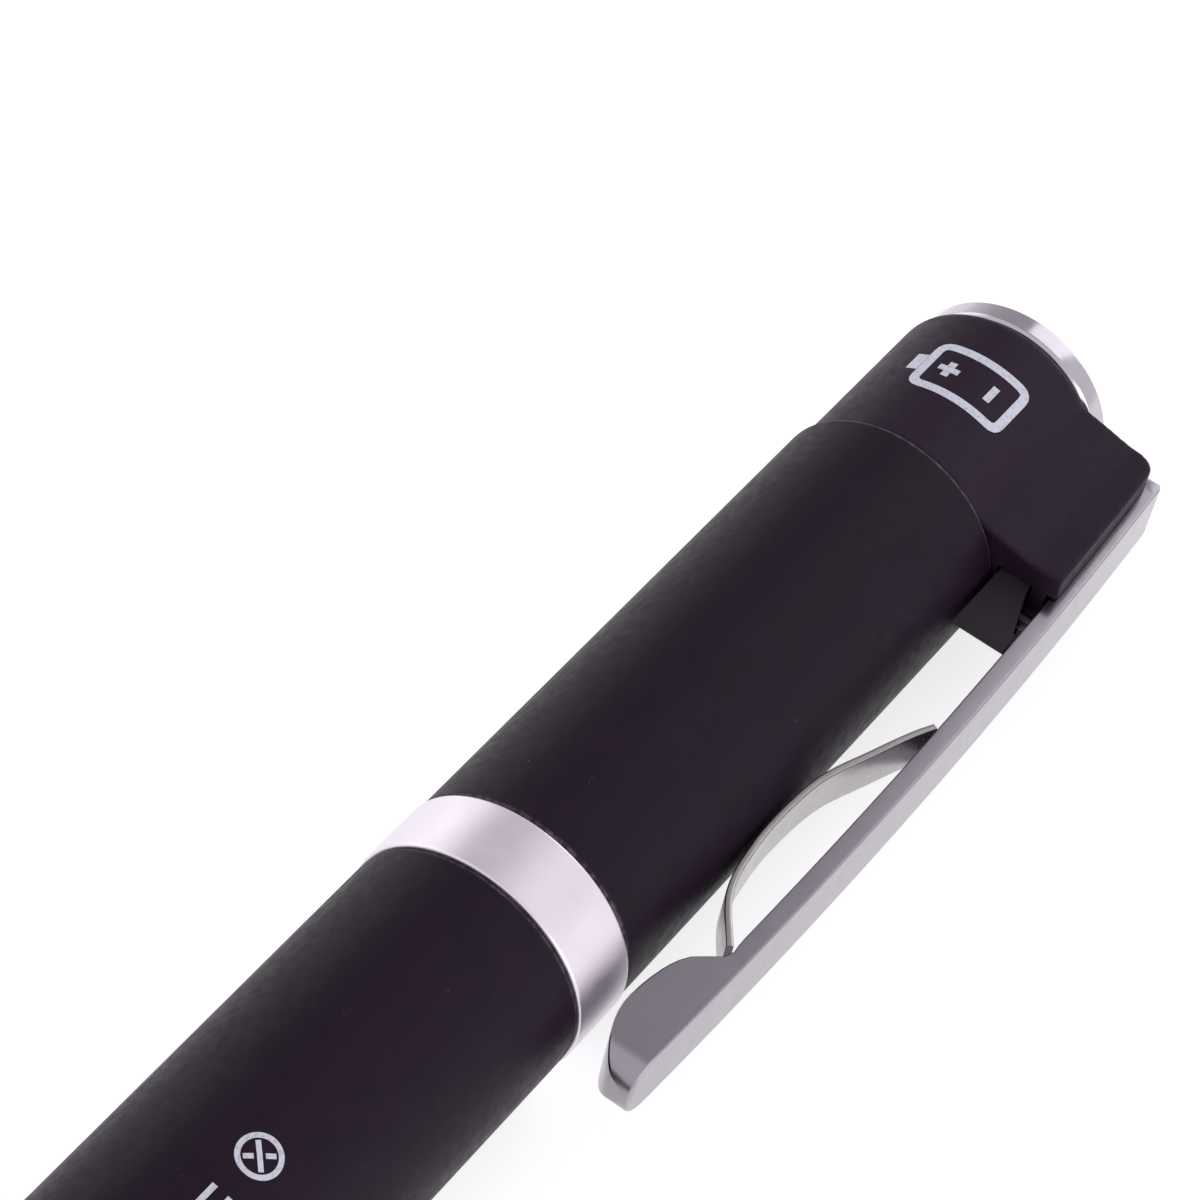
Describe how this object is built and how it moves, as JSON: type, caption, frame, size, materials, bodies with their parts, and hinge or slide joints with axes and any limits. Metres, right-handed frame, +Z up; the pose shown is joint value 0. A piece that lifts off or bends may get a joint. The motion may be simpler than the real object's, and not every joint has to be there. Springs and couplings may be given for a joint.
{
  "type": "otoscope",
  "caption": "Slim pocket otoscope: battery handle with sliding pocket clip switch, and a head with swinging lens and pull-off ear speculum.",
  "frame": {"origin": "under the middle of the object's box, on the surface it lies on", "axes": "+X along the handle towards its tail, -Y the side of the clip and of the eye lens, +Y the way the ear speculum points, +Z up from the surface"},
  "size_m": [0.1638, 0.0632, 0.0234],
  "materials": {
    "black_paint": "fine matt black lacquer on a drawn tube",
    "black_plastic": "fine satin black moulding",
    "speculum_plastic": "smooth satin black moulding",
    "chrome": "bright plated",
    "spring_steel": "bright rolled",
    "satin_metal": "satin turned",
    "brass": "turned",
    "cell_sleeve": "printed foil sleeve",
    "insulator": "moulded",
    "clear_glass": "polished",
    "light_fibre": "polished fibre ends"
  },
  "bodies": {
    "handle": {"lower_barrel": "black_paint", "mid_ring": "chrome", "thread_collar": "brass", "battery_rear": "cell_sleeve", "battery_front": "cell_sleeve", "contact_disc": "insulator", "contact_pin": "brass", "contact_pin_spring": "spring_steel", "head_mount": "brass"},
    "tail_section": {"upper_barrel": "black_paint", "tail_cap": "black_plastic", "tail_plug": "chrome", "insulator_bush": "insulator", "spring_cup": "brass", "battery_spring": "spring_steel", "switch_contact": "brass"},
    "switch_slider": {"clip_slider": "black_plastic", "slider_contact": "brass"},
    "clip_arm": {"clip": "chrome", "clip_drive_stud": "spring_steel", "clip_bow_spring": "spring_steel"},
    "head": {"head_collar": "chrome", "head_housing": "black_plastic", "lamp_socket": "brass", "lamp_base": "spring_steel", "lamp_bulb": "clear_glass", "fibre_bundle": "light_fibre", "light_cone": "light_fibre", "viewing_tube": "black_paint", "speculum_seat": "satin_metal", "insufflation_port": "satin_metal"},
    "lens_mount": {"lens_frame": "black_plastic", "lens": "clear_glass", "lens_retainer": "black_paint", "lens_pivot_screw": "satin_metal", "pivot_washer": "satin_metal"},
    "speculum": {"ear_speculum": "speculum_plastic"}
  },
  "joints": [
    {"name": "tail_pull", "type": "slide", "parent": "handle", "child": "tail_section", "axis": [1, 0, 0], "range_m": [0, 0.06]},
    {"name": "switch_slide", "type": "slide", "parent": "tail_section", "child": "switch_slider", "axis": [-1, 0, 0], "range_m": [0, 0.0035]},
    {"name": "clip_lift", "type": "hinge", "parent": "switch_slider", "child": "clip_arm", "pos_m": [0.07752, -0.03011, 0.0089], "axis": [0, 0, 1], "range_deg": [0, 2], "stiffness_Nm_per_rad": 4},
    {"name": "head_pull", "type": "slide", "parent": "handle", "child": "head", "axis": [-1, 0, 0], "range_m": [0, 0.014]},
    {"name": "lens_swing", "type": "hinge", "parent": "head", "child": "lens_mount", "pos_m": [-0.07883, -0.02982, 0.0089], "axis": [0, -1, 0], "range_deg": [0, 120]},
    {"name": "speculum_pull", "type": "slide", "parent": "head", "child": "speculum", "axis": [0, 1, 0], "range_m": [0, 0.03]}
  ]
}
